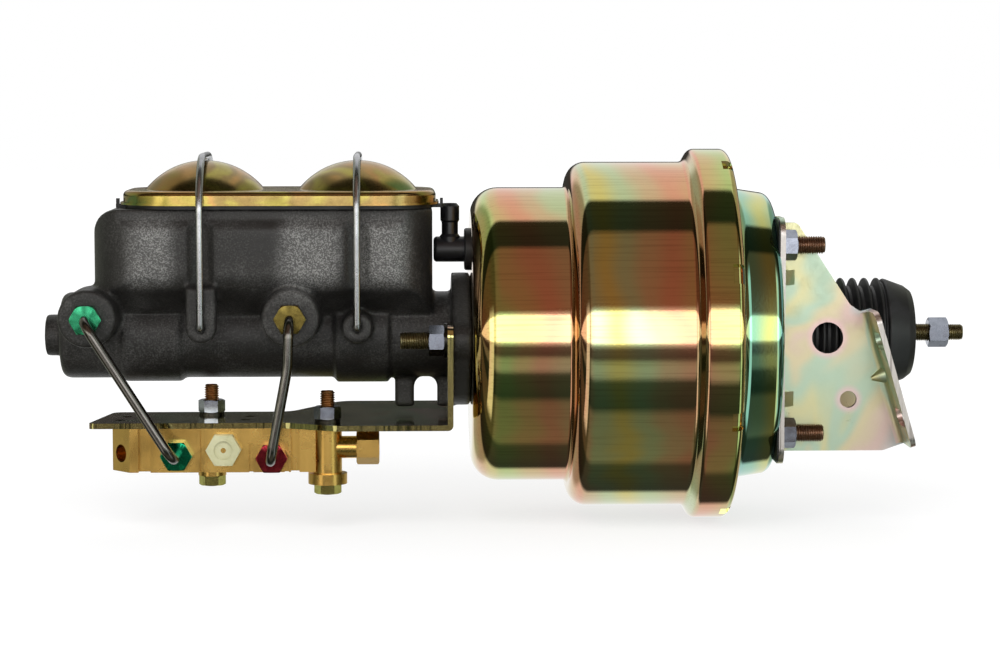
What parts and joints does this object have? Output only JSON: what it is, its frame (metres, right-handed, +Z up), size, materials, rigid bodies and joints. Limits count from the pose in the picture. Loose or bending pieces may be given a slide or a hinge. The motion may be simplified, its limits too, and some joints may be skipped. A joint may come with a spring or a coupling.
{
  "type": "brake booster with master cylinder",
  "caption": "Dual-diaphragm vacuum brake booster with a tandem master cylinder, a combination valve on a bracket, formed brake lines and angled firewall brackets.",
  "frame": {"origin": "on the booster's axis at its rear face, where the firewall brackets meet it", "axes": "+X along the booster's axis, rearwards to the firewall and the pedal; +Z up, towards the reservoir's cover; the brake lines and the valve are on the -Y side"},
  "size_m": [0.5052, 0.2032, 0.2032],
  "materials": {
    "gold_zinc": "bright yellow zinc",
    "pale_zinc": "pale iridescent zinc",
    "cast_iron": "dark fine-grained cast",
    "cover_zinc": "yellow zinc",
    "black_rubber": "matt",
    "black_plastic": "satin",
    "phenolic": "moulded",
    "steel": "bright",
    "dark_steel": "satin",
    "aluminium": "machined",
    "brass": "machined",
    "mint_zinc": "green zinc",
    "olive_zinc": "yellow zinc",
    "green_zinc": "dark green zinc",
    "maroon_zinc": "maroon zinc",
    "bronze_zinc": "bronze zinc",
    "nylon": "off-white",
    "filter_felt": "felt"
  },
  "bodies": {
    "housing": {"front_shell": "gold_zinc", "rear_shell": "gold_zinc", "divider_plate": "gold_zinc", "divider_seal": "black_rubber", "front_seal": "black_rubber", "rear_seal": "black_rubber", "front_studs": "bronze_zinc", "rear_studs": "bronze_zinc", "rear_gasket": "black_rubber", "check_valve_grommet": "black_rubber", "check_valve_body": "black_plastic", "left_firewall_bracket": "pale_zinc", "right_firewall_bracket": "pale_zinc", "firewall_nuts": "steel", "master_cylinder_body": "cast_iron", "reservoir_cover": "cover_zinc", "reservoir_gasket": "black_rubber", "primary_spring": "steel", "secondary_spring": "steel", "retaining_ring": "steel", "tube_seats": "brass", "front_upper_tube_nut": "mint_zinc", "rear_upper_tube_nut": "olive_zinc", "front_lower_tube_nut": "green_zinc", "rear_lower_tube_nut": "maroon_zinc", "front_brake_line": "dark_steel", "rear_brake_line": "dark_steel", "cylinder_nuts": "steel", "washers": "steel", "valve_bracket": "pale_zinc", "valve_body": "brass", "valve_end_fitting": "brass", "warning_switch": "nylon", "switch_terminal": "brass", "proportioning_spring": "steel", "valve_bolts": "bronze_zinc", "valve_nuts": "steel", "front_diaphragm": "black_rubber", "rear_diaphragm": "black_rubber", "return_spring": "steel", "boot": "black_rubber"},
    "power_piston": {"power_piston_hub": "phenolic", "front_diaphragm_plate": "gold_zinc", "rear_diaphragm_plate": "gold_zinc", "reaction_disc": "black_rubber", "output_rod": "steel", "control_poppet": "black_rubber", "air_filter": "filter_felt"},
    "input": {"input_rod": "steel", "valve_plunger": "aluminium", "jam_nut": "steel"},
    "primary": {"primary_piston": "aluminium", "primary_cups": "black_rubber"},
    "secondary": {"secondary_piston": "aluminium", "secondary_cups": "black_rubber"},
    "front_bail": {"front_bail": "steel"},
    "rear_bail": {"rear_bail": "steel"},
    "check_disc": {"check_valve_disc": "black_rubber"},
    "shuttle": {"shuttle_piston": "brass"},
    "proportioning": {"proportioning_piston": "aluminium"}
  },
  "joints": [
    {"name": "power_slide", "type": "slide", "parent": "housing", "child": "power_piston", "axis": [-1, 0, 0], "range_m": [0, 0.03], "stiffness_N_per_m": 1500, "springref_m": -0.03, "deforming": ["front_diaphragm", "rear_diaphragm", "return_spring", "boot"]},
    {"name": "input_slide", "type": "slide", "parent": "power_piston", "child": "input", "axis": [-1, 0, 0], "range_m": [0, 0.002], "stiffness_N_per_m": 2000, "springref_m": -0.004, "deforming": ["boot"]},
    {"name": "primary_slide", "type": "slide", "parent": "housing", "child": "primary", "axis": [-1, 0, 0], "range_m": [0, 0.03], "deforming": ["primary_spring"]},
    {"name": "secondary_slide", "type": "slide", "parent": "housing", "child": "secondary", "axis": [-1, 0, 0], "range_m": [0, 0.015], "deforming": ["primary_spring", "secondary_spring"]},
    {"name": "front_bail_swing", "type": "hinge", "parent": "housing", "child": "front_bail", "pos_m": [-0.3073, 0, 0.007], "axis": [0, -1, 0], "range_deg": [0, 60]},
    {"name": "rear_bail_swing", "type": "hinge", "parent": "housing", "child": "rear_bail", "pos_m": [-0.224, 0, 0.007], "axis": [0, 1, 0], "range_deg": [0, 33]},
    {"name": "check_valve_lift", "type": "slide", "parent": "housing", "child": "check_disc", "axis": [-1, 0, 0], "range_m": [0, 0.0015], "stiffness_N_per_m": 40, "springref_m": -0.002},
    {"name": "shuttle_slide", "type": "slide", "parent": "housing", "child": "shuttle", "axis": [1, 0, 0], "range_m": [-0.002, 0.002]},
    {"name": "proportioning_slide", "type": "slide", "parent": "housing", "child": "proportioning", "axis": [1, 0, 0], "range_m": [0, 0.0015], "stiffness_N_per_m": 500, "springref_m": -0.004, "deforming": ["proportioning_spring"]}
  ],
  "couplings": [
    {"joint": "primary_slide", "follows": "power_slide", "ratio": 1},
    {"joint": "secondary_slide", "follows": "power_slide", "ratio": 0.5}
  ]
}
